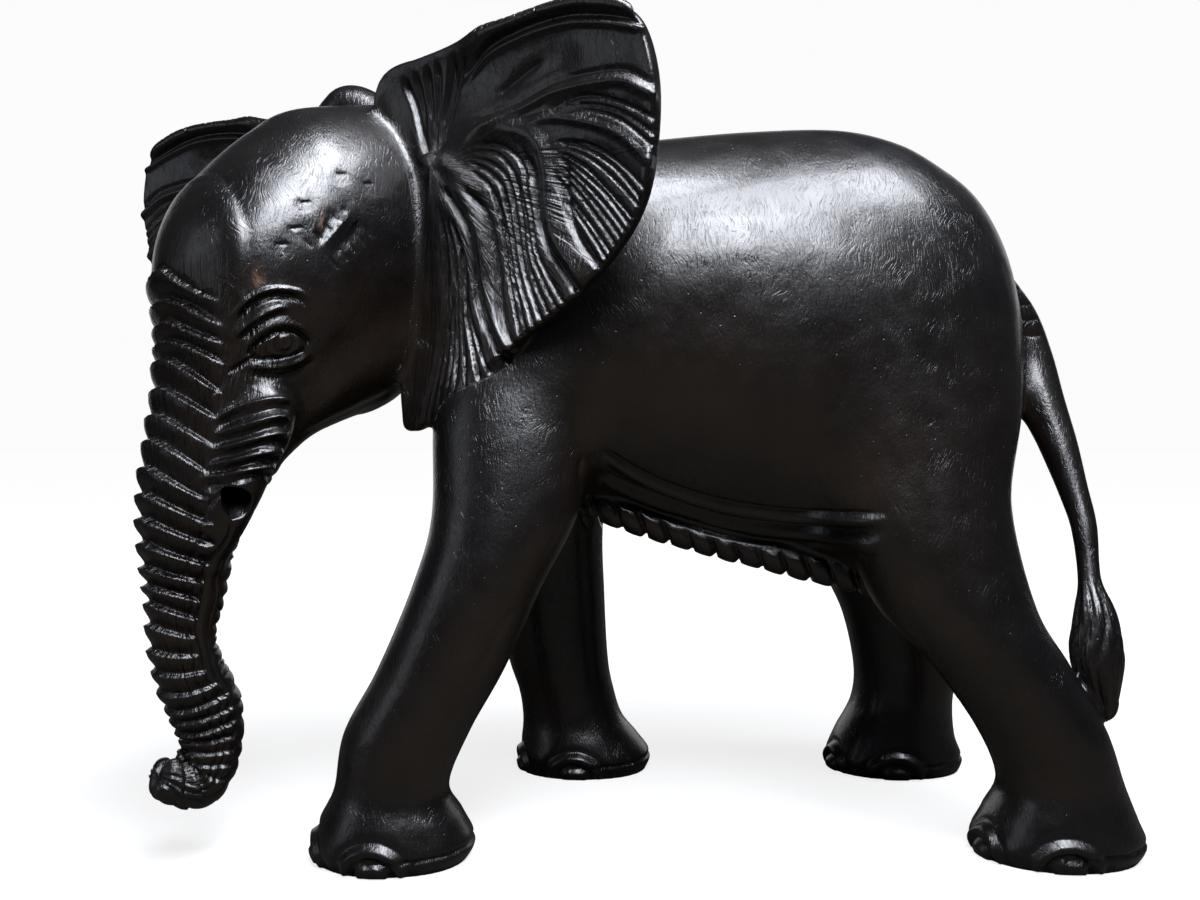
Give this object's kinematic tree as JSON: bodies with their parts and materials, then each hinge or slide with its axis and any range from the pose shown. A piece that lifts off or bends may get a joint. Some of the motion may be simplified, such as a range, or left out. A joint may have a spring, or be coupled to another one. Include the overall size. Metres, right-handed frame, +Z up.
{
  "type": "wooden elephant sculpture",
  "caption": "Walking elephant carved from one block of black-stained hardwood, head turned aside, large ears spread, trunk hanging, tusk sockets empty.",
  "frame": {"origin": "on the floor, under the middle of the figure's bounding box", "axes": "+Z up; the head end points to -X and the rump to +X; the flank toward which the head turns faces -Y"},
  "size_m": [0.5904, 0.2748, 0.4368],
  "materials": {
    "black_wood": "hand-carved hardwood, stained black and wax polished"
  },
  "bodies": {
    "root": {"elephant": "black_wood"}
  },
  "joints": []
}
